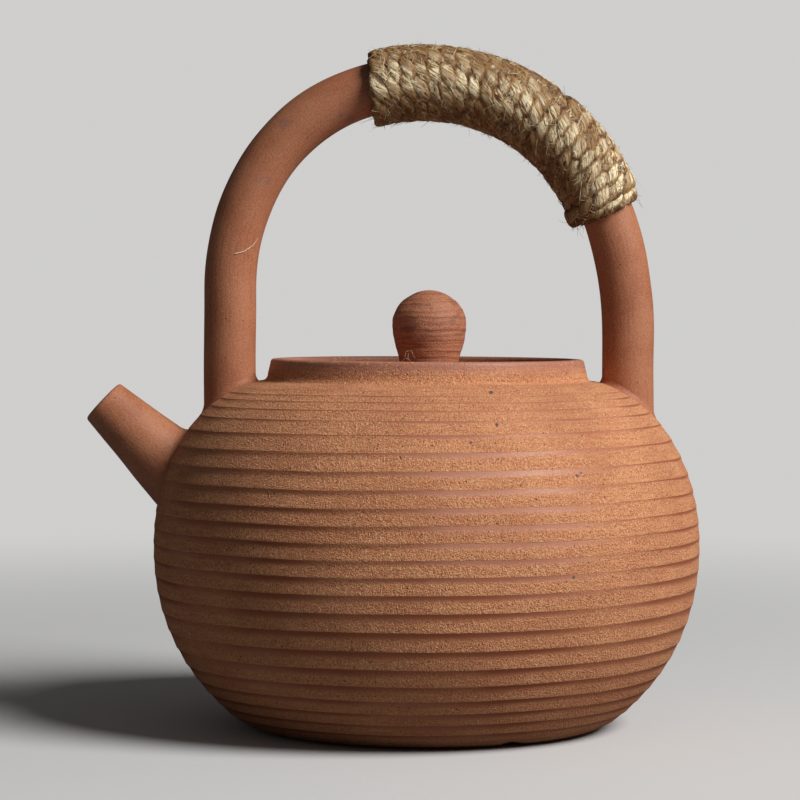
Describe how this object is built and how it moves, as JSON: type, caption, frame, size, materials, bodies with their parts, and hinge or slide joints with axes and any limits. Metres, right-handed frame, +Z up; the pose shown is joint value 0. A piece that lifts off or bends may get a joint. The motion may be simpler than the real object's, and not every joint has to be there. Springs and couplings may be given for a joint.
{
  "type": "stoneware teapot",
  "caption": "Round unglazed stoneware teapot with a short spout, a lift-off lid with a ball knob and an arched clay handle wound with jute cord.",
  "frame": {"origin": "on the pot's axis, in the plane of its flat base", "axes": "+Z up along the pot's axis, -X towards the spout, the handle's arch in the XZ plane"},
  "size_m": [0.1688, 0.1502, 0.1872],
  "materials": {
    "thrown_clay": "unglazed, sandy, with a thrown spiral",
    "smooth_clay": "unglazed, smoothed by hand",
    "lid_clay": "unglazed, turned",
    "jute_cord": "twisted plies with loose fibres"
  },
  "bodies": {
    "pot": {"pot_body": "thrown_clay", "spout": "smooth_clay", "spout_strainer": "smooth_clay", "spout_luting": "thrown_clay", "handle_arch": "smooth_clay", "front_leg_luting": "thrown_clay", "rear_leg_luting": "thrown_clay", "handle_wrap": "jute_cord"},
    "lid": {"lid_plate": "lid_clay", "lid_flange": "lid_clay", "lid_knob": "lid_clay"}
  },
  "joints": [
    {"name": "lid_lift", "type": "slide", "parent": "pot", "child": "lid", "axis": [0, 0, 1], "range_m": [0, 0.04]}
  ]
}
